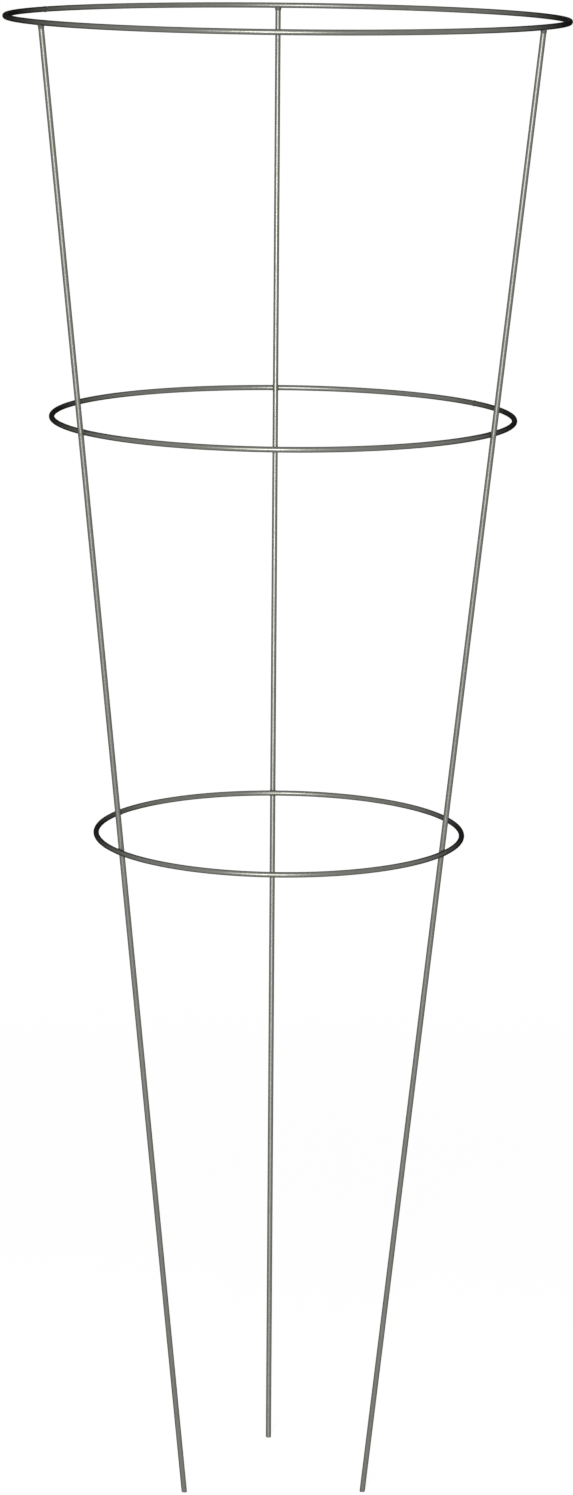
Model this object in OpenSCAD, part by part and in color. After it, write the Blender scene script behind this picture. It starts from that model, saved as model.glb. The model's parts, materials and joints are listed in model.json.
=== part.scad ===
// Conical tomato cage of round galvanised wire: three rings welded to three straight legs.
// The origin is on the cage's axis at ground level, +Z is up and the rear leg stands at +Y.

/* [Cage] */
// Overall height, from the ground to the top of the top ring
cage_h = 833; // [720:1:1000]
// Diameter of the top ring along the middle of its wire
top_ring_d = 305; // [260:1:360]
// Diameter of the circle that the feet stand on
foot_circle_d = 117.5; // [90:0.5:150]
// Height of the middle ring's wire above the ground
middle_ring_z = 614; // [520:0.5:690]
// Height of the bottom ring's wire above the ground
bottom_ring_z = 380.5; // [280:0.5:480]

/* [Wire] */
// Diameter of the leg wire
leg_wire_d = 3.05; // [2.5:0.05:4]
// Diameter of the ring wire
ring_wire_d = 3.05; // [2.5:0.05:4]

/* [Cross welds] */
// How far two wires sink into each other where they cross
set_down = 1.2; // [0.8:0.1:1.5]
// How far the squeezed-out metal stands past the corners of the crossing
flash_w = 0.3; // [0.1:0.05:0.6]
// How far the weld metal reaches into each wire past the sunk zone
weld_depth = 0.1; // [0.05:0.05:0.3]

/* [End welds] */
// Thickness of the weld metal between a leg's end and the top ring's underside
end_weld_t = 1.1; // [0.6:0.1:2]
// How far the end weld climbs the sides of the ring wire
end_weld_saddle = 0.6; // [0.2:0.1:1]
// How far the end weld bulges past the leg wire
end_weld_bulge = 0.3; // [0.1:0.05:0.6]

/* [Ring closures] */
// Length of the weld metal between the two ends of a ring
closure_l = 2.4; // [1.2:0.1:4]
// How far a ring closure bulges past the ring wire
closure_bulge = 0.2; // [0.1:0.05:0.5]

/* [Hidden] */
// Reach of a cut past what it cuts
overrun = 2;
// Azimuth of each leg, counted from +X
rear_azimuth = 90;
left_azimuth = 210;
right_azimuth = 330;
// Azimuth of each ring's closure, halfway between two legs
top_closure_azimuth = 150;
middle_closure_azimuth = 30;
bottom_closure_azimuth = 150;
// Share of a closure's length, and of an end weld's thickness, that is full width
crown_share = 1 / 3;
// Where a ring lies, seen from the front: behind is inside the front legs and outside the rear leg,
// and before is outside the front legs and inside the rear leg
behind = -1;
before = 1;
// Facets of a wire's round and of a ring's circle
wire_facets = 48;
ring_facets = 360;

leg_r = leg_wire_d / 2;
ring_r = ring_wire_d / 2;
foot_r = foot_circle_d / 2;
top_ring_r = top_ring_d / 2;
top_ring_z = cage_h - ring_r;

// Lean of the legs, and their length up to the middle of the top ring's wire
lean = atan2(top_ring_r - foot_r, top_ring_z);
leg_reach = norm([top_ring_r - foot_r, top_ring_z]);
leg_l = leg_reach - ring_r - end_weld_t;

// Distance between the middles of two crossing wires, and the size of the weld between them
cross_gap = leg_r + ring_r - set_down;
cross_weld_r = sqrt(set_down * (leg_r + ring_r) - set_down * set_down / 2) + flash_w;
cross_weld_t = set_down + 2 * weld_depth;

// Distance from the cage's axis to a leg's middle
function leg_axis_r(z) = foot_r + z * tan(lean);

// A ring lies on opposite sides of the front legs and the rear leg, so its centre stands off the cage's axis.
// Its two steps off the legs' middles, counted outwards at the front legs
function steps(place) = 2 * place * cross_gap / cos(lean);
// How far its centre stands towards the front, so that it touches all three legs
function ring_shift(z, place) =
    steps(place) * (2 * leg_axis_r(z) - steps(place)) / (3 * leg_axis_r(z) - 2 * steps(place));
// Radius along the middle of its wire
function ring_axis_r(z, place) = leg_axis_r(z) + ring_shift(z, place) - steps(place) / 2;

middle_ring_r = ring_axis_r(middle_ring_z, behind);
middle_ring_shift = ring_shift(middle_ring_z, behind);
bottom_ring_r = ring_axis_r(bottom_ring_z, before);
bottom_ring_shift = ring_shift(bottom_ring_z, before);

leg_color = "#a9aba3";
ring_color = "#94968e";
weld_color = "#777972";

// Puts its children on the leg at an azimuth, with their own +Z along the leg and the foot at their origin
module on_leg(azimuth) {
    rotate([0, 0, azimuth])
        translate([foot_r, 0, 0])
            rotate([0, lean, 0])
                children();
}

// Disc of weld metal with a round rim, squeezed out between a leg and the ring that crosses it
module cross_weld(azimuth, z, place) {
    // Side of the leg on which the ring lies, outside as 1, and the leg's azimuth seen from the ring's centre
    side = azimuth == rear_azimuth ? -place : place;
    shift = ring_shift(z, place);
    seen_azimuth = atan2(leg_axis_r(z) * sin(azimuth) + shift, leg_axis_r(z) * cos(azimuth));
    weld_axis_r = ring_axis_r(z, place) - side * (ring_r - set_down / 2) * cos(lean);
    weld_z = z + side * (ring_r - set_down / 2) * sin(lean);
    rim_r = cross_weld_t / 2;
    translate([0, -shift, 0])
        rotate([0, 0, seen_azimuth])
            translate([weld_axis_r, 0, weld_z])
                rotate([0, lean + 90, 0])
                    rotate_extrude($fn = wire_facets) {
                        translate([0, -rim_r])
                            square([cross_weld_r - rim_r, cross_weld_t]);
                        intersection() {
                            translate([cross_weld_r - rim_r, 0])
                                circle(r = rim_r, $fn = wire_facets);
                            translate([0, -rim_r])
                                square([cross_weld_r, cross_weld_t]);
                        }
                    }
}

// Bead on a leg's end, shaped on top to the underside of the top ring
module end_weld(azimuth) {
    bead_r = leg_r + end_weld_bulge;
    seat_z = leg_l + end_weld_t;
    difference() {
        on_leg(azimuth)
            rotate_extrude($fn = wire_facets)
                polygon([
                    [0, leg_l],
                    [leg_r, leg_l],
                    [bead_r, seat_z - end_weld_t * crown_share],
                    [bead_r, seat_z],
                    [leg_r, seat_z + end_weld_saddle],
                    [0, seat_z + end_weld_saddle]
                ]);
        hoop(top_ring_r, top_ring_z, 0);
    }
}

// Barrel of weld metal that joins the two ends of a ring
module closure_weld(axis_r, z, shift, azimuth) {
    crown_r = ring_r + closure_bulge;
    half_l = closure_l / 2;
    translate([0, -shift, z])
        rotate([0, 0, azimuth])
            translate([axis_r, 0, 0])
                rotate([90, 0, 0])
                    rotate_extrude($fn = wire_facets)
                        polygon([
                            [0, -half_l],
                            [ring_r, -half_l],
                            [crown_r, -half_l * crown_share],
                            [crown_r, half_l * crown_share],
                            [ring_r, half_l],
                            [0, half_l]
                        ]);
}

// Closed circle of ring wire, shifted towards the front
module hoop(axis_r, z, shift) {
    translate([0, -shift, z])
        rotate_extrude($fn = ring_facets)
            translate([axis_r, 0])
                circle(r = ring_r, $fn = wire_facets);
}

// Ring wire with a gap between its ends for the closure weld
module open_hoop(axis_r, z, shift, azimuth) {
    gap_w = ring_wire_d + overrun;
    difference() {
        hoop(axis_r, z, shift);
        translate([0, -shift, z])
            rotate([0, 0, azimuth])
                translate([axis_r, 0, 0])
                    cube([gap_w, closure_l, gap_w], center = true);
    }
}

// Ring that crosses the legs, with the welds' metal taken out of it
module crossed_ring(z, place, closure_azimuth) {
    color(ring_color)
        difference() {
            open_hoop(ring_axis_r(z, place), z, ring_shift(z, place), closure_azimuth);
            for (azimuth = [rear_azimuth, left_azimuth, right_azimuth])
                cross_weld(azimuth, z, place);
        }
}

// Straight leg, cut level at the ground, with the cross welds' metal taken out of it
module leg(azimuth) {
    base_w = foot_circle_d + 2 * overrun;
    color(leg_color)
        difference() {
            on_leg(azimuth)
                translate([0, 0, -overrun])
                    cylinder(h = leg_l + overrun, r = leg_r, $fn = wire_facets);
            translate([-base_w, -base_w, -2 * overrun])
                cube([2 * base_w, 2 * base_w, 2 * overrun]);
            cross_weld(azimuth, middle_ring_z, behind);
            cross_weld(azimuth, bottom_ring_z, before);
        }
}

module left_leg() { leg(left_azimuth); }
module right_leg() { leg(right_azimuth); }
module rear_leg() { leg(rear_azimuth); }

module top_ring() { color(ring_color) open_hoop(top_ring_r, top_ring_z, 0, top_closure_azimuth); }
module middle_ring() { crossed_ring(middle_ring_z, behind, middle_closure_azimuth); }
module bottom_ring() { crossed_ring(bottom_ring_z, before, bottom_closure_azimuth); }

module top_left_weld() { color(weld_color) end_weld(left_azimuth); }
module top_right_weld() { color(weld_color) end_weld(right_azimuth); }
module top_rear_weld() { color(weld_color) end_weld(rear_azimuth); }

module middle_left_weld() { color(weld_color) cross_weld(left_azimuth, middle_ring_z, behind); }
module middle_right_weld() { color(weld_color) cross_weld(right_azimuth, middle_ring_z, behind); }
module middle_rear_weld() { color(weld_color) cross_weld(rear_azimuth, middle_ring_z, behind); }

module bottom_left_weld() { color(weld_color) cross_weld(left_azimuth, bottom_ring_z, before); }
module bottom_right_weld() { color(weld_color) cross_weld(right_azimuth, bottom_ring_z, before); }
module bottom_rear_weld() { color(weld_color) cross_weld(rear_azimuth, bottom_ring_z, before); }

module top_ring_closure() { color(weld_color) closure_weld(top_ring_r, top_ring_z, 0, top_closure_azimuth); }
module middle_ring_closure() {
    color(weld_color) closure_weld(middle_ring_r, middle_ring_z, middle_ring_shift, middle_closure_azimuth);
}
module bottom_ring_closure() {
    color(weld_color) closure_weld(bottom_ring_r, bottom_ring_z, bottom_ring_shift, bottom_closure_azimuth);
}

left_leg();
right_leg();
rear_leg();
top_ring();
middle_ring();
bottom_ring();
top_left_weld();
top_right_weld();
top_rear_weld();
middle_left_weld();
middle_right_weld();
middle_rear_weld();
bottom_left_weld();
bottom_right_weld();
bottom_rear_weld();
top_ring_closure();
middle_ring_closure();
bottom_ring_closure();
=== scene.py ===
"""Tomato cage of welded galvanised wire: three straight legs and three rings.

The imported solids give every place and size. Each piece is drawn again here with the shape and the finish
of the real wire and its welds, on a white studio floor, seen from the photograph's angle.
"""

import json
import math

import bpy
import numpy as np
from bpy.props import FloatProperty, FloatVectorProperty, IntProperty, PointerProperty
from mathutils import Matrix, Vector


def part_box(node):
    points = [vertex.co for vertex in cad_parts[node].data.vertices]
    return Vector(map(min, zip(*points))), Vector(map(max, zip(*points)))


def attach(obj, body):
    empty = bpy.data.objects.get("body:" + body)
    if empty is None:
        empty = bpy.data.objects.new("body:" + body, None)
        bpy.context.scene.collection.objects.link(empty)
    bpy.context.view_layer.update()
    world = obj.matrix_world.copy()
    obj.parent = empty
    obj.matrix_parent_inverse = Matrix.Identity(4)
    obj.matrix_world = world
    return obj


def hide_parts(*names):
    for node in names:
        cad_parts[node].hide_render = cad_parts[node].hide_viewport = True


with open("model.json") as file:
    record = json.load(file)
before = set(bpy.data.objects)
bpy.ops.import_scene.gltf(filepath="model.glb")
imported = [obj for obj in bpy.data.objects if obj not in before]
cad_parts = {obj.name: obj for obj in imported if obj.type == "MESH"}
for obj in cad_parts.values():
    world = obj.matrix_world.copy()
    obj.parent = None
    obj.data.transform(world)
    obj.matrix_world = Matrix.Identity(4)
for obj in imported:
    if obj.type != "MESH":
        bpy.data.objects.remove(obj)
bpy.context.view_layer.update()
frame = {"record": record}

bl_info = {
    "name": "Tomato cage",
    "version": (1, 0, 0),
    "blender": (4, 5, 0),
    "location": "View3D > Sidebar > Tomato cage",
    "description": "Draws a welded wire tomato cage around its packed solids",
    "category": "Object",
}

MM = 0.001
BODY = "root"
LEGS = ("left", "right", "rear")
RINGS = ("top", "middle", "bottom")
CROSSED_RINGS = ("middle", "bottom")
STAKES = {m["name"]: m for m in frame["record"]["mounts"] if m["name"].endswith("_stake")}
LEG_WIRE_D = 2 * STAKES["rear_stake"]["dims"]["r_mm"] * MM
RING_WIRE_D = round((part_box("middle_ring")[1].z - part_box("middle_ring")[0].z) / MM, 2) * MM

# Shares of the radius on a ring wire's flat end, from its middle to its rim.
FLAT_END = np.array([0, 0.5, 0.92])
# Facets round a weld, and the first seed of each kind of weld.
WELD_FACETS = 72
NUGGET_SEED = 100
BEAD_SEED = 200
COLLAR_SEED = 300
# The phases of the welds' ripples are drawn from about one turn, in radians.
PHASES = 6.28
# Sockets of a Mix node that mixes colours.
MIX_A = 6
MIX_B = 7
MIX_OUT = 2


def linear(hex_colour):
    """sRGB hex to linear RGB: a straight line near black, and a power of 2.4 above it."""
    srgb = np.array([int(hex_colour[i:i + 2], 16) for i in (1, 3, 5)]) / 255.0
    power = ((srgb + 0.055) / 1.055) ** 2.4
    return tuple(np.where(srgb <= 0.04045, srgb / 12.92, power))


class CageWireSettings(bpy.types.PropertyGroup):
    """Sizes of the drawn wire."""

    leg_d: FloatProperty(
        name="Leg wire", description="Diameter of the leg wire", default=LEG_WIRE_D,
        unit="LENGTH", precision=5)
    ring_d: FloatProperty(
        name="Ring wire", description="Diameter of the ring wire", default=RING_WIRE_D,
        unit="LENGTH", precision=5)
    facets: IntProperty(
        name="Facets", description="Facets around a wire", default=40, min=12, max=96)
    spacing: FloatProperty(
        name="Spacing", description="Distance between the wire's stations", default=2.2 * MM,
        unit="LENGTH", precision=5)
    zinc_wave: FloatProperty(
        name="Zinc waviness", description="How much thinner the zinc coat is in its hollows",
        default=0.015 * MM, unit="LENGTH", precision=6)


class CageWeldSettings(bpy.types.PropertyGroup):
    """Sizes of the weld metal."""

    set_down: FloatProperty(
        name="Set-down", description="How far two crossing wires sink into each other", default=1.2 * MM,
        unit="LENGTH", precision=5)
    nugget_t: FloatProperty(
        name="Nugget thickness", description="Thickness of the metal squeezed out at a crossing",
        default=1.4 * MM, unit="LENGTH", precision=5)
    nugget_r: FloatProperty(
        name="Nugget radius", description="Radius of the metal squeezed out at a crossing",
        default=2.0 * MM, unit="LENGTH", precision=5)
    corner_lobe: FloatProperty(
        name="Corner lobes", description="How far the squeezed-out metal runs into the corners of a crossing",
        default=0.35 * MM, unit="LENGTH", precision=5)
    end_bulge: FloatProperty(
        name="End bulge", description="How far an end weld bulges past the leg wire", default=0.28 * MM,
        unit="LENGTH", precision=5)
    end_toe: FloatProperty(
        name="End toe", description="How far an end weld runs down the leg", default=0.5 * MM,
        unit="LENGTH", precision=5)
    closure_l: FloatProperty(
        name="Closure length", description="Length of the weld between a ring's two ends", default=2.4 * MM,
        unit="LENGTH", precision=5)
    closure_bulge: FloatProperty(
        name="Closure bulge", description="How far a closure stands past the ring wire", default=0.19 * MM,
        unit="LENGTH", precision=5)
    heat_reach: FloatProperty(
        name="Heat reach", description="How far from a weld its heat has dulled the zinc", default=5.0 * MM,
        unit="LENGTH", precision=5)


class CageFinishSettings(bpy.types.PropertyGroup):
    """Colours of the wire and its welds."""

    zinc: FloatVectorProperty(
        name="Zinc", description="Clean galvanised wire", subtype="COLOR", min=0, max=1,
        default=linear("#73746f"))
    dull_zinc: FloatVectorProperty(
        name="Dull zinc", description="Weathered patches of the coat", subtype="COLOR", min=0, max=1,
        default=linear("#6f7069"))
    burnt_zinc: FloatVectorProperty(
        name="Burnt zinc", description="Zinc scorched beside a weld", subtype="COLOR", min=0, max=1,
        default=linear("#5b5a53"))
    weld: FloatVectorProperty(
        name="Weld metal", description="Oxidised metal of a resistance weld", subtype="COLOR", min=0, max=1,
        default=linear("#676761"))
    cut_steel: FloatVectorProperty(
        name="Cut steel", description="Bare steel of a sheared wire end", subtype="COLOR", min=0, max=1,
        default=linear("#817f7a"))


class CageStageSettings(bpy.types.PropertyGroup):
    """Floor and lamps."""

    floor: FloatVectorProperty(
        name="Floor", description="Colour of the studio floor", subtype="COLOR", min=0, max=1,
        default=linear("#f4f4f2"))
    floor_r: FloatProperty(
        name="Floor radius", description="Radius of the studio floor", default=8.0, unit="LENGTH")
    key: FloatProperty(
        name="Key", description="Power of the lamp beside the camera", default=64.0, unit="POWER")
    fill: FloatProperty(
        name="Fill", description="Power of the low lamp under the key", default=12.0, unit="POWER")
    rear: FloatProperty(
        name="Rear", description="Power of the lamp behind the cage", default=8.0, unit="POWER")
    haze: FloatProperty(
        name="Haze", description="Strength of the even light all round", default=0.01, min=0)


def unit(v):
    """A vector divided by its own length."""
    return np.asarray(v, float) / np.linalg.norm(v)


def middle_of(node):
    """Middle of a CAD node's box."""
    lo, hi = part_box(node)
    return np.array((lo + hi) / 2)


def leg_line(leg):
    """Foot of a leg's axis, its direction up the leg, and the level direction along the ring beside it."""
    stake = STAKES[leg + "_stake"]
    foot = np.array(stake["pos_m"])
    up = -unit(stake["axis"])
    out = unit(foot * (1, 1, 0))
    side = np.cross((0, 0, 1), out)
    return foot, up, side


def leg_length(leg, wire_r):
    """Length of a leg's axis from the ground to its square top end, whose highest corner is the box's top."""
    up = leg_line(leg)[1]
    lean_sin = math.sqrt(1 - up[2] ** 2)
    return (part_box(leg + "_leg")[1].z - wire_r * lean_sin) / up[2]


def ring_line(ring):
    """Radius and centre of a ring's axis, and the azimuth of its closure seen from there."""
    lo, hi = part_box(ring + "_ring")
    radius = (hi.x - lo.x) / 2 - RING_WIRE_D / 2
    centre = middle_of(ring + "_ring") * (0, 1, 1)
    closure = middle_of(ring + "_ring_closure") - centre
    return radius, centre, math.atan2(closure[1], closure[0])


def weld_middles():
    """Middles of all the welds, as one array."""
    names = [f"{r}_{g}_weld" for r in RINGS for g in LEGS] + [f"{r}_ring_closure" for r in RINGS]
    return np.array([middle_of(n) for n in names])


def stations(length, spacing, spots, reach=6 * MM, fine=0.22 * MM):
    """Distances along a wire: even steps, with fine steps within a short reach of each spot."""
    even = np.linspace(0, length, int(length / spacing) + 1)
    close = np.concatenate([np.arange(s - reach, s + reach, fine) for s in spots])
    away = np.abs(even[:, None] - np.asarray(spots)[None, :]).min(1) > reach
    ends = np.isin(even, (0, length))
    inside = (close > fine) & (close < length - fine)
    return np.unique(np.concatenate([even[away | ends], close[inside]]))


def zinc_hollows(s, u, seed):
    """Depth of the coat's hollows from 0 to 1: a sum of sine waves in s and u with seeded phases, pressed
    softly between its limits."""
    waves = 9
    lengths_mm = (3.5, 30)
    most_turns = 3
    softness = 3
    rng = np.random.default_rng(seed)
    length = rng.uniform(*lengths_mm, waves)[:, None, None] * MM
    turns = rng.integers(0, most_turns + 1, waves)[:, None, None]
    phase = rng.uniform(0, math.tau, waves)[:, None, None]
    total = np.sin(math.tau * s / length + turns * u + phase).sum(0)
    return 0.5 + 0.5 * np.tanh(total / softness)


def give_way(x, height, other_r, gap):
    """Height of a wire's surface where a wire of radius other_r crosses it, with a gap between the two axes:
    where the two rounds would overlap, each gives way by half of the overlap."""
    under = gap - np.sqrt(np.clip(other_r ** 2 - x ** 2, 0, None))
    overlap = np.where((np.abs(x) < other_r) & (height > 0), height - under, 0)
    return height - np.clip(overlap, 0, None) / 2


def spread_out(x, width):
    """Width of a wire that a weld has pressed: broader by a share that falls as a bell curve of x."""
    share = 0.07
    reach = 1.7 * MM
    return width * (1 + share * np.exp(-(x / reach) ** 2))


def rim_ripple(rng, t, heights, counts):
    """Unevenness round a weld: sine waves of t, one for each count, with seeded heights and phases, added."""
    return sum(rng.uniform(*heights) * np.sin(k * t + rng.uniform(0, PHASES)) for k in counts)


def close_poles(points):
    """Draws the first and the last row of a grid together, each in its own middle."""
    points[0] = points[0].mean(0)
    points[-1] = points[-1].mean(0)


def packed(grid):
    """A grid's values in the order of the mesh's points: first pole, the rows between, last pole."""
    flat = grid[1:-1].reshape(-1, *grid.shape[2:])
    return np.concatenate([grid[0, :1], flat, grid[-1, :1]])


def strip_map(mesh, run, facets):
    """UV map that cuts the grid into strips side by side, so that a long wire fills a square map. The fans of
    the two poles lie in a row above the strips."""
    strip_left = 0.02
    strip_w = 0.96
    strip_low = 0.01
    strip_h = 0.94
    fan_w = 0.48
    fan_low = 0.965
    fan_h = 0.03
    total = run[-1] - run[0]
    girth = math.pi * LEG_WIRE_D
    strips = max(1, round(math.sqrt(total / girth)))
    middle = (run[:-1] + run[1:]) / 2 - run[0]
    strip = np.minimum((middle / total * strips).astype(int), strips - 1)
    start = run[0] + strip * total / strips
    low = np.clip((run[:-1] - start) / total * strips, 0, 1)
    high = np.clip((run[1:] - start) / total * strips, 0, 1)
    step = 1 / facets
    j = np.arange(facets) / facets
    cross = np.stack([j, j + step, j + step, j], -1)[None, :, :]
    u = (strip[:, None, None] + strip_left + strip_w * cross) / strips
    v = np.stack([low, low, high, high], -1)[:, None, :] * np.ones((1, facets, 1))
    v = strip_low + strip_h * v
    quads = np.stack([np.broadcast_to(u, v.shape), v], -1).reshape(-1, 2)
    tip = np.stack([j + step, j, j + step / 2], -1).reshape(-1)
    peak = fan_low + fan_h * np.tile((0, 0, 1), facets)
    fans = [np.stack([left + fan_w * tip, peak], -1) for left in (0.0, 0.5)]
    layer = mesh.uv_layers.new(name="OFBake")
    layer.data.foreach_set("uv", np.concatenate([quads] + fans).astype(np.float32).ravel())


def closed_piece(name, points, run, materials, cut_rows=0):
    """Mesh object from a grid of rows by facets, whose first and last rows are poles. run is each row's place
    along the skin, and the first cut_rows rows and the first fan take the second material."""
    rows, facets = points.shape[:2]
    index = 1 + np.arange((rows - 2) * facets).reshape(rows - 2, facets)
    nxt = np.roll(index, -1, 1)
    quads = np.stack([index[:-1], nxt[:-1], nxt[1:], index[1:]], -1).reshape(-1, 4)
    last = np.full(facets, 1 + index.size)
    first_fan = np.stack([nxt[0], index[0], 0 * last], -1)
    last_fan = np.stack([index[-1], nxt[-1], last], -1)
    mesh = bpy.data.meshes.new(name)
    mesh.from_pydata(packed(points).tolist(), [], quads.tolist() + first_fan.tolist() + last_fan.tolist())
    mesh.polygons.foreach_set("use_smooth", np.ones(len(mesh.polygons), bool))
    slots = np.zeros(len(mesh.polygons), np.int32)
    if cut_rows:
        slots[:cut_rows * facets] = 1
        slots[len(quads):len(quads) + facets] = 1
    mesh.polygons.foreach_set("material_index", slots)
    strip_map(mesh, run[1:-1], facets)
    for material in materials:
        mesh.materials.append(material)
    mesh.validate()
    mesh.update()
    piece = bpy.data.objects.new(name, mesh)
    bpy.context.scene.collection.objects.link(piece)
    return piece


def mark_wire(piece, drawn, heat):
    """Keeps on each point of a wire its place in the straight wire as it was drawn, and the welds' heat."""
    attribute = piece.data.attributes.new("drawn", "FLOAT_VECTOR", "POINT")
    attribute.data.foreach_set("vector", packed(drawn).astype(np.float32).ravel())
    attribute = piece.data.attributes.new("heat", "FLOAT", "POINT")
    attribute.data.foreach_set("value", packed(heat).astype(np.float32).ravel())


def hand_over(piece, node):
    """The piece rides on the cage's one body and stands for its CAD node, which is hidden."""
    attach(piece, BODY)
    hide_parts(node)


def scorch(points, reach):
    """Heat of the welds at each point, from 0 to 1: a bell curve of the distance to the nearest weld."""
    flat = points.reshape(-1, 3)
    near = np.full(len(flat), np.inf)
    for weld in weld_middles():
        near = np.minimum(near, ((flat - weld) ** 2).sum(1))
    return np.exp(-near / reach ** 2).reshape(points.shape[:2])


def add_node(tree, kind, links=(), values=(), **settings):
    """A node of one kind with its settings, the values of its sockets, and links into its sockets."""
    made = tree.nodes.new(kind)
    for name, value in settings.items():
        setattr(made, name, value)
    for socket, value in dict(values).items():
        made.inputs[socket].default_value = value
    for socket, output in dict(links).items():
        tree.links.new(output, made.inputs[socket])
    return made


def new_material(name):
    """An empty node material and its node tree."""
    material = bpy.data.materials.new(name)
    material.use_nodes = True
    material.node_tree.nodes.clear()
    return material, material.node_tree


def galvanised_wire(name, finish):
    """Hot-dip galvanised, drawn steel wire, a little weathered: a dull grey metal with soft gloss, faint
    lines along the wire from the drawing die, cloudy duller patches, and scorched zinc beside the welds."""
    material, tree = new_material(name)
    drawn = add_node(tree, "ShaderNodeAttribute", attribute_name="drawn").outputs["Vector"]
    heat = add_node(tree, "ShaderNodeAttribute", attribute_name="heat").outputs["Fac"]
    # Clouds of the coat, 3 mm across and about 8 mm long.
    cloud_w = 3 * MM
    cloud_squeeze = (1.0, 1.0, 0.36)
    clouds_at = add_node(tree, "ShaderNodeVectorMath", {0: drawn}, {1: cloud_squeeze}, operation="MULTIPLY")
    clouds = add_node(tree, "ShaderNodeTexNoise", {"Vector": clouds_at.outputs[0]},
                      {"Scale": 1 / cloud_w, "Detail": 3.0, "Roughness": 0.55})
    # Die lines, 0.3 mm apart and some 25 mm long.
    line_gap = 0.3 * MM
    line_squeeze = (1.0, 1.0, 0.012)
    lines_at = add_node(tree, "ShaderNodeVectorMath", {0: drawn}, {1: line_squeeze}, operation="MULTIPLY")
    lines = add_node(tree, "ShaderNodeTexNoise", {"Vector": lines_at.outputs[0]},
                     {"Scale": 1 / line_gap, "Detail": 2.0, "Roughness": 0.6})
    # Zinc grains of 0.7 mm.
    grain_w = 0.7 * MM
    grains = add_node(tree, "ShaderNodeTexVoronoi", {"Vector": drawn}, {"Scale": 1 / grain_w}, feature="F1")
    grain = add_node(tree, "ShaderNodeSeparateColor", {"Color": grains.outputs["Color"]})
    # Colour: clean and dull zinc in clouds, shaded by grain and die line, and scorched by the welds.
    cloudy = add_node(tree, "ShaderNodeMapRange", {"Value": clouds.outputs["Fac"]},
                      {"From Min": 0.35, "From Max": 0.68}, interpolation_type="SMOOTHSTEP")
    coat = add_node(tree, "ShaderNodeMix", {"Factor": cloudy.outputs["Result"]},
                    {MIX_A: (*finish.zinc, 1.0), MIX_B: (*finish.dull_zinc, 1.0)}, data_type="RGBA")
    grain_shade = add_node(tree, "ShaderNodeMapRange", {"Value": grain.outputs["Red"]},
                           {"To Min": 0.96, "To Max": 1.04})
    line_shade = add_node(tree, "ShaderNodeMapRange", {"Value": lines.outputs["Fac"]},
                          {"From Min": 0.3, "From Max": 0.7, "To Min": 0.95, "To Max": 1.04})
    shade = add_node(tree, "ShaderNodeMath", {0: grain_shade.outputs[0], 1: line_shade.outputs[0]},
                     operation="MULTIPLY")
    shaded = add_node(tree, "ShaderNodeVectorMath", {0: coat.outputs[MIX_OUT], "Scale": shade.outputs[0]},
                      operation="SCALE")
    scorched = add_node(tree, "ShaderNodeMix", {"Factor": heat, MIX_A: shaded.outputs[0]},
                        {MIX_B: (*finish.burnt_zinc, 1.0)}, data_type="RGBA")
    colour = scorched.outputs[MIX_OUT]
    # Roughness: from the clouds, a little more from grain to grain, and more beside the welds.
    grain_rough = 0.02
    heat_rough = 0.12
    rough_clouds = add_node(tree, "ShaderNodeMapRange", {"Value": clouds.outputs["Fac"]},
                            {"From Min": 0.3, "From Max": 0.7, "To Min": 0.34, "To Max": 0.37})
    rough_grain = add_node(tree, "ShaderNodeMath", {0: grain.outputs["Green"], 2: rough_clouds.outputs[0]},
                           {1: grain_rough}, operation="MULTIPLY_ADD")
    rough = add_node(tree, "ShaderNodeMath", {0: heat, 2: rough_grain.outputs[0]}, {1: heat_rough},
                     operation="MULTIPLY_ADD")
    # Relief: the die lines, and the clouds at six tenths of their height.
    cloud_relief = 0.6
    relief = add_node(tree, "ShaderNodeMath", {0: clouds.outputs["Fac"], 2: lines.outputs["Fac"]},
                      {1: cloud_relief}, operation="MULTIPLY_ADD")
    bump = add_node(tree, "ShaderNodeBump", {"Height": relief.outputs[0]},
                    {"Strength": 0.1, "Distance": 0.04 * MM})
    matt_share = 0.2
    metal = add_node(
        tree, "ShaderNodeBsdfPrincipled",
        {"Base Color": colour, "Roughness": rough.outputs[0], "Normal": bump.outputs[0]},
        {"Metallic": 1 - matt_share, "Specular IOR Level": 0.0, "Specular Tint": (0.28, 0.28, 0.28, 1.0)})
    # Painted shade at the wires' edges: towards a grazing angle the gloss gives way to a matt layer, so the
    # wires' edges and the rings' far ends render dark instead of showing the white surroundings. The matt
    # share of the metal stays as it is.
    edge_shade_colour = add_node(tree, "ShaderNodeVectorMath", {0: colour}, {"Scale": matt_share}, operation="SCALE")
    matt = add_node(tree, "ShaderNodeBsdfDiffuse", {"Color": edge_shade_colour.outputs[0], "Normal": bump.outputs[0]})
    facing = add_node(tree, "ShaderNodeLayerWeight", values={"Blend": 0.5}).outputs["Facing"]
    edge_shade_share = add_node(tree, "ShaderNodeMapRange", {"Value": facing},
                        {"From Min": 0.3, "From Max": 0.75, "To Min": 0.0, "To Max": 0.97})
    surface = add_node(tree, "ShaderNodeMixShader",
                       {0: edge_shade_share.outputs["Result"], 1: metal.outputs[0], 2: matt.outputs[0]})
    add_node(tree, "ShaderNodeOutputMaterial", {"Surface": surface.outputs[0]})
    return material


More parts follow.
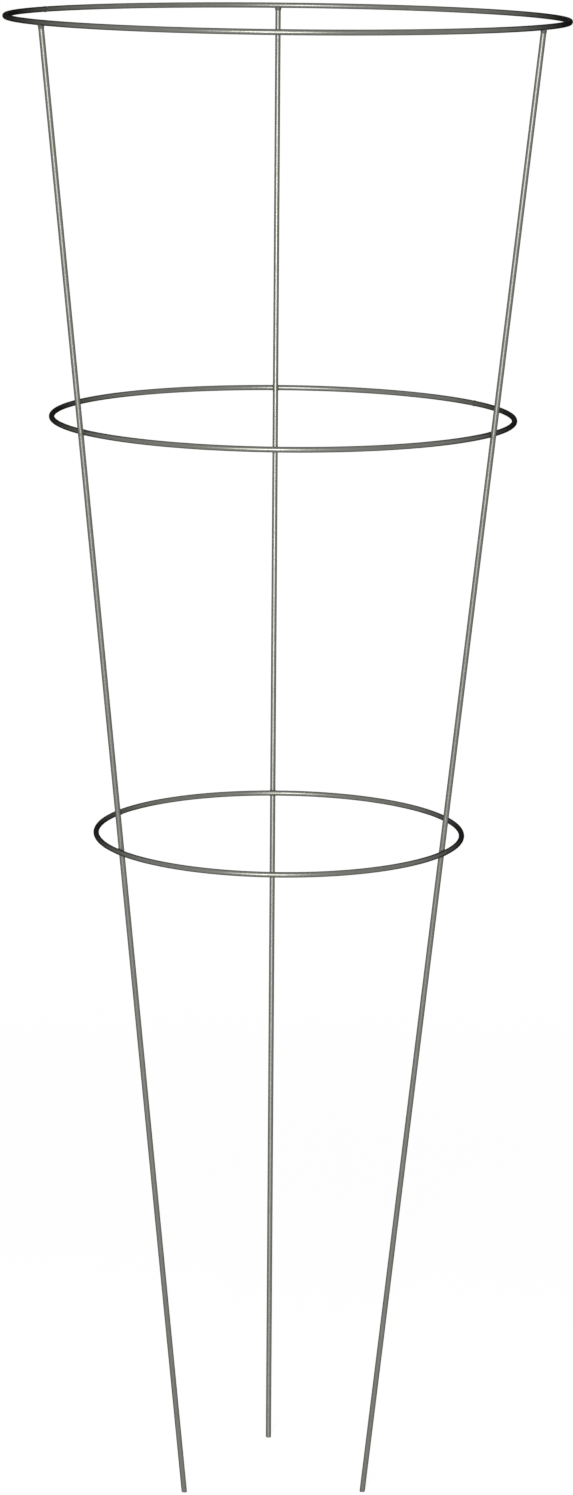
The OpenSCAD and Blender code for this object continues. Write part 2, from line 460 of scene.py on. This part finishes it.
def weld_metal(name, finish):
    """Resistance-weld metal, squeezed out and left as it froze: dark oxide with scorched patches, matt and
    pitted."""
    material, tree = new_material(name)
    place = add_node(tree, "ShaderNodeTexCoord").outputs["Object"]
    # Oxide patches of 0.8 mm and pits of 0.2 mm.
    patch_w = 0.8 * MM
    pit_w = 0.2 * MM
    patches = add_node(tree, "ShaderNodeTexNoise", {"Vector": place}, {"Scale": 1 / patch_w, "Detail": 4.0})
    pits = add_node(tree, "ShaderNodeTexNoise", {"Vector": place}, {"Scale": 1 / pit_w, "Detail": 3.0})
    patchy = add_node(tree, "ShaderNodeMapRange", {"Value": patches.outputs["Fac"]},
                      {"From Min": 0.35, "From Max": 0.65}, interpolation_type="SMOOTHSTEP")
    oxide = add_node(tree, "ShaderNodeMix", {"Factor": patchy.outputs["Result"]},
                     {MIX_A: (*finish.weld, 1.0), MIX_B: (*finish.burnt_zinc, 1.0)}, data_type="RGBA")
    rough = add_node(tree, "ShaderNodeMapRange", {"Value": pits.outputs["Fac"]},
                     {"From Min": 0.3, "From Max": 0.7, "To Min": 0.48, "To Max": 0.7})
    bump = add_node(tree, "ShaderNodeBump", {"Height": pits.outputs["Fac"]},
                    {"Strength": 0.5, "Distance": 0.06 * MM})
    metal = add_node(
        tree, "ShaderNodeBsdfPrincipled",
        {"Base Color": oxide.outputs[MIX_OUT], "Roughness": rough.outputs[0], "Normal": bump.outputs[0]},
        {"Metallic": 0.4, "Specular IOR Level": 0.0, "Specular Tint": (0.3, 0.3, 0.3, 1.0)})
    add_node(tree, "ShaderNodeOutputMaterial", {"Surface": metal.outputs[0]})
    return material


def sheared_steel(name, finish):
    """Bare low-carbon steel where the wire was sheared off: dull, with fine scratches across the cut."""
    material, tree = new_material(name)
    drawn = add_node(tree, "ShaderNodeAttribute", attribute_name="drawn").outputs["Vector"]
    # Shear scratches 0.15 mm apart.
    scratch_gap = 0.15 * MM
    scratch_squeeze = (0.08, 1.0, 1.0)
    scratch_at = add_node(tree, "ShaderNodeVectorMath", {0: drawn}, {1: scratch_squeeze},
                          operation="MULTIPLY")
    scratches = add_node(tree, "ShaderNodeTexNoise", {"Vector": scratch_at.outputs[0]},
                         {"Scale": 1 / scratch_gap, "Detail": 2.0})
    tone = add_node(tree, "ShaderNodeMapRange", {"Value": scratches.outputs["Fac"]},
                    {"From Min": 0.3, "From Max": 0.7, "To Min": 0.75, "To Max": 1.1})
    steel = add_node(tree, "ShaderNodeVectorMath", {"Scale": tone.outputs[0]}, {0: tuple(finish.cut_steel)},
                     operation="SCALE")
    rough = add_node(tree, "ShaderNodeMapRange", {"Value": scratches.outputs["Fac"]},
                     {"From Min": 0.3, "From Max": 0.7, "To Min": 0.35, "To Max": 0.55})
    bump = add_node(tree, "ShaderNodeBump", {"Height": scratches.outputs["Fac"]},
                    {"Strength": 0.4, "Distance": 0.05 * MM})
    metal = add_node(
        tree, "ShaderNodeBsdfPrincipled",
        {"Base Color": steel.outputs[0], "Roughness": rough.outputs[0], "Normal": bump.outputs[0]},
        {"Metallic": 0.6, "Specular IOR Level": 0.0, "Specular Tint": (0.2, 0.2, 0.2, 1.0)})
    add_node(tree, "ShaderNodeOutputMaterial", {"Surface": metal.outputs[0]})
    return material


def material_once(name, maker, finish):
    """The material of that name, made the first time it is asked for."""
    return bpy.data.materials.get(name) or maker(name, finish)


class CAGE_OT_legs(bpy.types.Operator):
    """Draws the three straight legs, dented where the rings cross them and sheared off level at the ground"""

    bl_idname = "cage.legs"
    bl_label = "Draw legs"

    def execute(self, context):
        wire = context.scene.cage_wire
        weld = context.scene.cage_weld
        finish = context.scene.cage_finish
        materials = [material_once("galvanised_leg_wire", galvanised_wire, finish),
                     material_once("sheared_steel_end", sheared_steel, finish)]
        for seed, leg in enumerate(LEGS):
            self.draw_leg(leg, wire, weld, materials, seed)
        return {"FINISHED"}

    def draw_leg(self, leg, wire, weld, materials, seed):
        """Point = foot + s up + r (cos u out + sin u side), where out is square to the leg in the plane
        through the cage's axis. Near the ground s is shifted so that the last rows lie level."""
        foot, up, side = leg_line(leg)
        out = np.cross(side, up)
        r = wire.leg_d / 2
        length = leg_length(leg, r)
        crossings = [(middle_of(f"{ring}_{leg}_weld") - foot) @ up for ring in CROSSED_RINGS]
        line = stations(length, wire.spacing, crossings + [0, length])
        u = np.linspace(0, math.tau, wire.facets, endpoint=False)
        # The sheared end, from the pole to the rim: shares of the radius, and heights above the ground, which
        # are greater on the torn side.
        foot_shares = np.array([0, 0.25, 0.5, 0.7, 0.84, 0.93, 0.985])
        foot_lifts = np.array([0.10, 0.09, 0.06, 0.02, 0.0, 0.05, 0.16]) * MM
        torn_share = 0.7
        torn_side = 1.0
        rim_top = 0.3 * MM
        level_reach = 8 * MM
        foot_s = foot_lifts[:, None] * (1 + torn_share * np.cos(u - torn_side))
        body = line[line > rim_top]
        # The square top end, from its rim to the pole.
        top_shares = np.array([0.9, 0.5, 0])
        shares = np.concatenate([foot_shares, np.ones(len(body)), top_shares])[:, None] * np.ones_like(u)
        top_s = np.full((len(top_shares), wire.facets), length)
        s = np.concatenate([foot_s, body[:, None] * np.ones_like(u), top_s])
        level = np.clip(1 - s / level_reach, 0, 1) ** 2
        s = s - level * shares * r * np.cos(u) * out[2] / up[2]
        radius = (r - zinc_hollows(s, u, seed) * wire.zinc_wave) * shares
        height = radius * np.cos(u)
        across = radius * np.sin(u)
        gap = (wire.leg_d + wire.ring_d) / 2 - weld.set_down
        for ring, at in zip(CROSSED_RINGS, crossings):
            toward = np.sign((middle_of(f"{ring}_{leg}_weld") - foot - at * up) @ out)
            height = toward * give_way(s - at, toward * height, wire.ring_d / 2, gap)
            across = spread_out(s - at, across)
        points = foot + s[..., None] * up + height[..., None] * out + across[..., None] * side
        points[..., 2] = np.maximum(points[..., 2], 0)
        close_poles(points)
        rim_run = 0.2 * MM
        foot_run = -np.linspace(r, rim_run, len(foot_shares))
        top_run = length + np.array([0.2, 0.8, 1.5]) * MM
        run = np.concatenate([foot_run, body, top_run])
        piece = closed_piece(leg + "_leg_wire", points, run, materials, cut_rows=len(foot_shares) - 2)
        mark_wire(piece, np.stack([height, across, s + seed], -1), scorch(points, weld.heat_reach))
        hand_over(piece, leg + "_leg")


class CAGE_OT_rings(bpy.types.Operator):
    """Bends the three rings, dented where they cross the legs and open at their closures"""

    bl_idname = "cage.rings"
    bl_label = "Bend rings"

    def execute(self, context):
        wire = context.scene.cage_wire
        weld = context.scene.cage_weld
        finish = context.scene.cage_finish
        materials = [material_once("galvanised_ring_wire", galvanised_wire, finish)]
        for seed, ring in enumerate(RINGS):
            self.bend_ring(ring, wire, weld, materials, seed + len(LEGS))
        return {"FINISHED"}

    def bend_ring(self, ring, wire, weld, materials, seed):
        """Point = R (cos a, sin a) + r (cos u out - sin u z), carried along the azimuth a from one end of the
        wire at the closure to the other."""
        big_r, centre, closure = ring_line(ring)
        r = wire.ring_d / 2
        gap_angle = weld.closure_l / big_r
        length = (math.tau - gap_angle) * big_r
        azimuths = [math.atan2(*(middle_of(f"{ring}_{leg}_weld") - centre)[[1, 0]]) for leg in LEGS]
        spots = [((a - closure) % math.tau) * big_r - weld.closure_l / 2 for a in azimuths]
        body = stations(length, wire.spacing, spots + [0, length])
        u = np.linspace(0, math.tau, wire.facets, endpoint=False)
        shares = np.concatenate([FLAT_END, np.ones(len(body)), FLAT_END[::-1]])[:, None] * np.ones_like(u)
        s = np.concatenate([0 * FLAT_END, body, 0 * FLAT_END + length])[:, None] * np.ones_like(u)
        radius = (r - zinc_hollows(s, u, seed) * wire.zinc_wave) * shares
        across = radius * np.cos(u)
        height = radius * np.sin(u)
        gap = (wire.leg_d + wire.ring_d) / 2 - weld.set_down
        crossed_legs = zip(LEGS, spots) if ring in CROSSED_RINGS else ()
        for leg, at in crossed_legs:
            lean = math.acos(leg_line(leg)[1][2])
            to_weld = middle_of(f"{ring}_{leg}_weld") - centre
            toward = np.sign(np.hypot(*to_weld[:2]) - big_r)
            # Turned by the lean: one part towards the leg, the other along it.
            facing = toward * (across * math.cos(lean) + height * math.sin(lean))
            beside = -across * math.sin(lean) + height * math.cos(lean)
            facing = toward * give_way(s - at, facing, wire.leg_d / 2, gap)
            beside = spread_out(s - at, beside)
            across = facing * math.cos(lean) - beside * math.sin(lean)
            height = facing * math.sin(lean) + beside * math.cos(lean)
        a = closure + gap_angle / 2 + s / big_r
        out = np.stack([np.cos(a), np.sin(a), 0 * a], -1)
        down = np.array((0, 0, -1))
        points = centre + (big_r + across)[..., None] * out + height[..., None] * down
        close_poles(points)
        rim_run = 0.1 * MM
        end_run = (1 - FLAT_END) * r + rim_run
        run = np.concatenate([-end_run, body, length + end_run[::-1]])
        piece = closed_piece(ring + "_ring_wire", points, run, materials)
        mark_wire(piece, np.stack([across, height, s + seed], -1), scorch(points, weld.heat_reach))
        hand_over(piece, ring + "_ring")


class CAGE_OT_cross_welds(bpy.types.Operator):
    """Sets the squeezed-out weld metal between each leg and the ring that crosses it"""

    bl_idname = "cage.cross_welds"
    bl_label = "Set cross welds"

    def execute(self, context):
        weld = context.scene.cage_weld
        materials = [material_once("burnt_weld_metal", weld_metal, context.scene.cage_finish)]
        for n, (ring, leg) in enumerate((r, g) for r in CROSSED_RINGS for g in LEGS):
            self.set_nugget(ring, leg, weld, materials, NUGGET_SEED + n)
        return {"FINISHED"}

    def set_nugget(self, ring, leg, weld, materials, seed):
        """A flat cushion: point = middle + h(v) out + q(v, t) (cos t along + sin t side). Its rim is a half
        round of the nugget's thickness, and q swells four times a turn, into the corners of the crossing."""
        lobe_level = 0.35
        ripple_heights = (0.02, 0.05)
        ripple_counts = (3, 5, 7, 11)
        ripple_share = 0.8
        corner_sag = 0.22
        rim_rows = 19
        face = np.array([0, 0.4, 0.8])
        _, along, side = leg_line(leg)
        out = np.cross(side, along)
        middle = middle_of(f"{ring}_{leg}_weld")
        t = np.linspace(0, math.tau, WELD_FACETS, endpoint=False)
        half = weld.nugget_t / 2
        ripple = rim_ripple(np.random.default_rng(seed), t, ripple_heights, ripple_counts)
        corners = np.sin(2 * t) ** 2
        rim = weld.nugget_r + weld.corner_lobe * (corners - lobe_level) + ripple_share * ripple * MM
        v = np.linspace(0, math.pi, rim_rows)
        flat = rim - half
        q = np.concatenate([face[:, None] * flat, flat + half * np.sin(v)[:, None], face[::-1, None] * flat])
        h = np.concatenate([0 * face + half, half * np.cos(v), 0 * face - half])[:, None]
        h = h * (1 - corner_sag * corners * (q / rim) ** 2)
        points = (middle + h[..., None] * out
                  + (q * np.cos(t))[..., None] * along + (q * np.sin(t))[..., None] * side)
        points = points[:, ::-1] if np.cross(along, side) @ out > 0 else points
        # The way over the skin from pole to pole is about four radii.
        run = np.linspace(0, 4 * weld.nugget_r, len(points))
        piece = closed_piece(f"{ring}_{leg}_weld_nugget", points, run, materials)
        hand_over(piece, f"{ring}_{leg}_weld")


class CAGE_OT_end_welds(bpy.types.Operator):
    """Builds the beads that join the legs' top ends to the underside of the top ring"""

    bl_idname = "cage.end_welds"
    bl_label = "Build end welds"

    def execute(self, context):
        wire = context.scene.cage_wire
        weld = context.scene.cage_weld
        materials = [material_once("burnt_weld_metal", weld_metal, context.scene.cage_finish)]
        for n, leg in enumerate(LEGS):
            self.build_bead(leg, wire, weld, materials, BEAD_SEED + n)
        return {"FINISHED"}

    def build_bead(self, leg, wire, weld, materials, seed):
        """Carried round the leg's axis: from a pole on the leg's end, out over its rim and a short way down
        the leg as a toe, up in a bulging curve, quadratic in w, to a saddle line on the ring wire, and along
        the wire's underside to a pole."""
        ripple_heights = (0.01, 0.03)
        ripple_counts = (2, 3, 5, 8)
        saddle_reach = 0.45 * MM
        saddle_turn = 1.12
        toe_ripple = 1.5
        toe_lift = 0.01 * MM
        bulge_rise = 0.55 * MM
        curve_rows = 17
        saddle_shares = (0.8, 0.5, 0.25, 0.0)
        foot, up, side = leg_line(leg)
        out = np.cross(side, up)
        r = wire.leg_d / 2
        ring_r = wire.ring_d / 2
        big_r, centre, _ = ring_line("top")
        level = unit(foot * (1, 1, 0))
        ring_middle = centre + big_r * level
        t = np.linspace(0, math.tau, WELD_FACETS, endpoint=False)
        ripple = rim_ripple(np.random.default_rng(seed), t, ripple_heights, ripple_counts) * MM
        end = foot + leg_length(leg, r) * up

        def on_leg(radius, rise):
            """A line round the leg's axis, at a radius and a rise from the leg's end."""
            wide = radius * np.ones_like(t)
            high = rise * np.ones_like(t)
            return (end + high[:, None] * up
                    + (wide * np.cos(t))[:, None] * out + (wide * np.sin(t))[:, None] * side)

        def on_ring(share):
            """A share of the saddle line on the ring wire's skin, which runs along the wire and round it."""
            along = share * (r + saddle_reach + ripple) * np.sin(t)
            turn = share * saddle_turn * np.cos(t)
            bend = ring_r * np.sin(turn)[:, None] * out - ring_r * np.cos(turn)[:, None] * up
            drop = (along ** 2 / (2 * big_r))[:, None] * level
            return ring_middle + bend + along[:, None] * side - drop

        toe = -weld.end_toe + toe_ripple * ripple
        start = on_leg(r + toe_lift, toe)
        bulge = on_leg(r + weld.end_bulge + ripple, bulge_rise)
        w = np.linspace(0, 1, curve_rows)[:, None, None]
        curve = (1 - w) ** 2 * start + 2 * w * (1 - w) * bulge + w ** 2 * on_ring(1.0)
        low = np.stack([on_leg(0, 0), on_leg(0.5 * r, 0), on_leg(r, 0), on_leg(r, 0.5 * toe)])
        high = np.stack([on_ring(share) for share in saddle_shares])
        points = np.concatenate([low, curve, high])
        close_poles(points)
        # The way over the skin from pole to pole is about five radii.
        run = np.linspace(0, 5 * r, len(points))
        piece = closed_piece(f"top_{leg}_weld_bead", points, run, materials)
        hand_over(piece, f"top_{leg}_weld")


class CAGE_OT_closures(bpy.types.Operator):
    """Builds the butt welds that close the rings"""

    bl_idname = "cage.closures"
    bl_label = "Close rings"

    def execute(self, context):
        wire = context.scene.cage_wire
        weld = context.scene.cage_weld
        materials = [material_once("burnt_weld_metal", weld_metal, context.scene.cage_finish)]
        for n, ring in enumerate(RINGS):
            self.build_collar(ring, wire, weld, materials, COLLAR_SEED + n)
        return {"FINISHED"}

    def build_collar(self, ring, wire, weld, materials, seed):
        """A collar carried along the ring's arc: its radius is the wire's at both ends and rises in two bell
        curves to ridges of upset metal, with a shallow seam between them."""
        collar_rows = 41
        ridge_at = 0.28
        ridge_w = 0.3
        wave_share = 0.2
        big_r, centre, closure = ring_line(ring)
        r = wire.ring_d / 2
        x = np.linspace(-1, 1, collar_rows)
        u = np.linspace(0, math.tau, wire.facets, endpoint=False)
        rng = np.random.default_rng(seed)
        ridge = np.exp(-((np.abs(x) - ridge_at) / ridge_w) ** 2) * (1 - np.abs(x) ** 3)
        wave = np.sin(3 * u + rng.uniform(0, PHASES)) * np.cos(2 * u + rng.uniform(0, PHASES))
        swell = weld.closure_bulge * ridge[:, None] * (1 - wave_share + wave_share * wave)
        ends = FLAT_END[:, None] * r * np.ones_like(u)
        radius = np.concatenate([ends, r + swell, ends[::-1]])
        place = np.concatenate([0 * FLAT_END - 1, x, 0 * FLAT_END + 1])[:, None] * weld.closure_l / 2
        a = closure + place / big_r
        out = np.stack([np.cos(a), np.sin(a), 0 * a], -1)
        down = np.array((0, 0, -1))
        reach = big_r + radius * np.cos(u)
        points = centre + reach[..., None] * out + (radius * np.sin(u))[..., None] * down
        close_poles(points)
        # The way over the skin from pole to pole is about two lengths.
        run = np.linspace(0, 2 * weld.closure_l, len(points))
        piece = closed_piece(f"{ring}_ring_closure_collar", points, run, materials)
        hand_over(piece, f"{ring}_ring_closure")


def seen_rays(tree):
    """1 on the rays of the camera, gloss and glass, and 0 on those that only carry light."""
    path = add_node(tree, "ShaderNodeLightPath").outputs
    seen = add_node(tree, "ShaderNodeMath", {0: path["Is Camera Ray"], 1: path["Is Glossy Ray"]},
                    operation="MAXIMUM")
    seen = add_node(tree, "ShaderNodeMath", {0: seen.outputs[0], 1: path["Is Transmission Ray"]},
                    operation="MAXIMUM")
    return seen.outputs[0]


def white_floor(name, stage):
    """Matt white studio floor. What the camera, gloss and glass see of it is lifted to white, a little less
    around the cage, where paint that the lamps light makes up the rest and keeps the shadow."""
    # Distances from the cage's axis, in metres, between which the lift and the paint change.
    near = 0.3
    far = 1.5
    lift_near = 0.9
    paint_near = 0.35
    paint_far = 0.02
    material, tree = new_material(name)
    place = add_node(tree, "ShaderNodeTexCoord").outputs["Object"]
    away = add_node(tree, "ShaderNodeVectorMath", {0: place}, operation="LENGTH").outputs["Value"]
    lifted = add_node(tree, "ShaderNodeMapRange", {"Value": away},
                      {"From Min": near, "From Max": far, "To Min": lift_near, "To Max": 1.0},
                      interpolation_type="SMOOTHSTEP")
    strength = add_node(tree, "ShaderNodeMath", {0: seen_rays(tree), 1: lifted.outputs["Result"]},
                        operation="MULTIPLY")
    glow = add_node(tree, "ShaderNodeEmission", {"Strength": strength.outputs[0]}, {"Color": (1, 1, 1, 1)})
    share = add_node(tree, "ShaderNodeMapRange", {"Value": away},
                     {"From Min": near, "From Max": far, "To Min": paint_near, "To Max": paint_far},
                     interpolation_type="SMOOTHSTEP")
    colour = add_node(tree, "ShaderNodeVectorMath", {"Scale": share.outputs["Result"]},
                      {0: tuple(stage.floor)}, operation="SCALE")
    paint = add_node(tree, "ShaderNodeBsdfDiffuse", {"Color": colour.outputs[0]})
    both = add_node(tree, "ShaderNodeAddShader", {0: glow.outputs[0], 1: paint.outputs[0]})
    add_node(tree, "ShaderNodeOutputMaterial", {"Surface": both.outputs[0]})
    return material


def lamp(name, place, aim, size, power):
    """A soft lamp of a width and height at a place, turned towards its aim and not seen by the camera."""
    data = bpy.data.lights.new(name, "AREA")
    data.shape = "RECTANGLE"
    data.size, data.size_y = size
    data.energy = power
    made = bpy.data.objects.new(name, data)
    made.location = place
    made.rotation_mode = "QUATERNION"
    made.rotation_quaternion = (Vector(aim) - Vector(place)).to_track_quat("-Z", "Y")
    made.visible_camera = False
    bpy.context.scene.collection.objects.link(made)


class CAGE_OT_stage(bpy.types.Operator):
    """Sets the floor, the lamps and the camera"""

    bl_idname = "cage.stage"
    bl_label = "Set stage"

    # Place, width and height of each lamp in metres. All are turned to the middle of the cage.
    lamps = {
        "key": ((-0.36, -2.45, 1.0), (1.1, 0.5)),
        "fill": ((-0.36, -2.45, 0.15), (0.8, 0.25)),
        "rear": ((0.3, 2.6, 1.2), (0.8, 0.8)),
    }
    lamp_aim = (0, 0, 0.42)
    # The photograph's camera, worked out from its projected rings and legs. Lens and sensor are in mm.
    camera_at = (-0.09021, -2.47534, 0.94796)
    heading = math.radians(2.1759)
    pitch = math.radians(-11.8420)
    roll = math.radians(0.6518)
    lens = 109.073
    sensor_w = 36
    clip_near = 0.1
    clip_far = 100

    def execute(self, context):
        scene = context.scene
        stage = scene.cage_stage
        self.lay_floor(stage)
        for kind, (place, size) in self.lamps.items():
            lamp(kind + "_lamp", place, self.lamp_aim, size, getattr(stage, kind))
        self.light_world(scene, stage)
        self.set_camera(scene)
        scene.view_settings.view_transform = "Standard"
        return {"FINISHED"}

    def lay_floor(self, stage):
        """Flat disc: point = floor_r p (cos t, sin t, 0), on a grid of p and t."""
        facets = 96
        rings = 8
        t = np.linspace(0, math.tau, facets, endpoint=False)
        p = np.linspace(0, 1, rings + 1)[1:, None]
        flat = np.stack([p * np.cos(t), p * np.sin(t), 0 * p * t], -1) * stage.floor_r
        points = np.concatenate([np.zeros((1, 3)), flat.reshape(-1, 3)])
        index = 1 + np.arange(rings * facets).reshape(rings, facets)
        nxt = np.roll(index, -1, 1)
        quads = np.stack([index[:-1], index[1:], nxt[1:], nxt[:-1]], -1).reshape(-1, 4)
        fan = np.stack([0 * index[0], index[0], nxt[0]], -1)
        mesh = bpy.data.meshes.new("studio_floor")
        mesh.from_pydata(points.tolist(), [], quads.tolist() + fan.tolist())
        mesh.materials.append(white_floor("matt_white_floor", stage))
        floor = bpy.data.objects.new("studio_floor", mesh)
        bpy.context.scene.collection.objects.link(floor)

    def light_world(self, scene, stage):
        """Dim even light all round; white where the camera, gloss or glass sees past the floor."""
        world = bpy.data.worlds.new("white_studio")
        world.use_nodes = True
        tree = world.node_tree
        tree.nodes.clear()
        strength = add_node(tree, "ShaderNodeMapRange", {"Value": seen_rays(tree)},
                            {"To Min": stage.haze, "To Max": 1.0})
        sky = add_node(tree, "ShaderNodeBackground", {"Strength": strength.outputs[0]},
                       {"Color": (1, 1, 1, 1)})
        add_node(tree, "ShaderNodeOutputWorld", {"Surface": sky.outputs[0]})
        scene.world = world

    def set_camera(self, scene):
        """Axes of the camera from its heading and pitch, then turned about the line of sight by its roll."""
        ahead = np.array((math.sin(self.heading) * math.cos(self.pitch),
                          math.cos(self.heading) * math.cos(self.pitch), math.sin(self.pitch)))
        right = np.array((math.cos(self.heading), -math.sin(self.heading), 0))
        above = np.cross(right, ahead)
        x = math.cos(self.roll) * right + math.sin(self.roll) * above
        y = -math.sin(self.roll) * right + math.cos(self.roll) * above
        data = bpy.data.cameras.new("photo_camera")
        data.lens = self.lens
        data.sensor_width = self.sensor_w
        data.clip_start = self.clip_near
        data.clip_end = self.clip_far
        camera = bpy.data.objects.new("photo_camera", data)
        turn = Matrix(np.stack([x, y, -ahead], -1).tolist()).to_4x4()
        camera.matrix_world = Matrix.Translation(self.camera_at) @ turn
        scene.collection.objects.link(camera)
        scene.camera = camera


SETTINGS = {
    "cage_wire": CageWireSettings,
    "cage_weld": CageWeldSettings,
    "cage_finish": CageFinishSettings,
    "cage_stage": CageStageSettings,
}
STEPS = (CAGE_OT_stage, CAGE_OT_legs, CAGE_OT_rings, CAGE_OT_cross_welds, CAGE_OT_end_welds, CAGE_OT_closures)


class CAGE_PT_panel(bpy.types.Panel):
    """Lists the cage's settings and the steps that draw it"""

    bl_idname = "CAGE_PT_panel"
    bl_label = "Tomato cage"
    bl_space_type = "VIEW_3D"
    bl_region_type = "UI"
    bl_category = "Tomato cage"

    def draw(self, context):
        for group, kind in SETTINGS.items():
            box = self.layout.box()
            for name in kind.__annotations__:
                box.prop(getattr(context.scene, group), name)
        for step in STEPS:
            self.layout.operator(step.bl_idname)


CLASSES = (*SETTINGS.values(), *STEPS, CAGE_PT_panel)


def register():
    """Makes the settings, the steps and the panel known to Blender."""
    for kind in CLASSES:
        bpy.utils.register_class(kind)
    for name, kind in SETTINGS.items():
        setattr(bpy.types.Scene, name, PointerProperty(type=kind))


def unregister():
    """Takes back what register did, in reverse."""
    for name in SETTINGS:
        delattr(bpy.types.Scene, name)
    for kind in reversed(CLASSES):
        bpy.utils.unregister_class(kind)


def main():
    """Registers the add-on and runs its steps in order."""
    register()
    bpy.ops.cage.stage()
    bpy.ops.cage.legs()
    bpy.ops.cage.rings()
    bpy.ops.cage.cross_welds()
    bpy.ops.cage.end_welds()
    bpy.ops.cage.closures()
    bpy.context.view_layer.update()


if __name__ == "__main__":
    main()
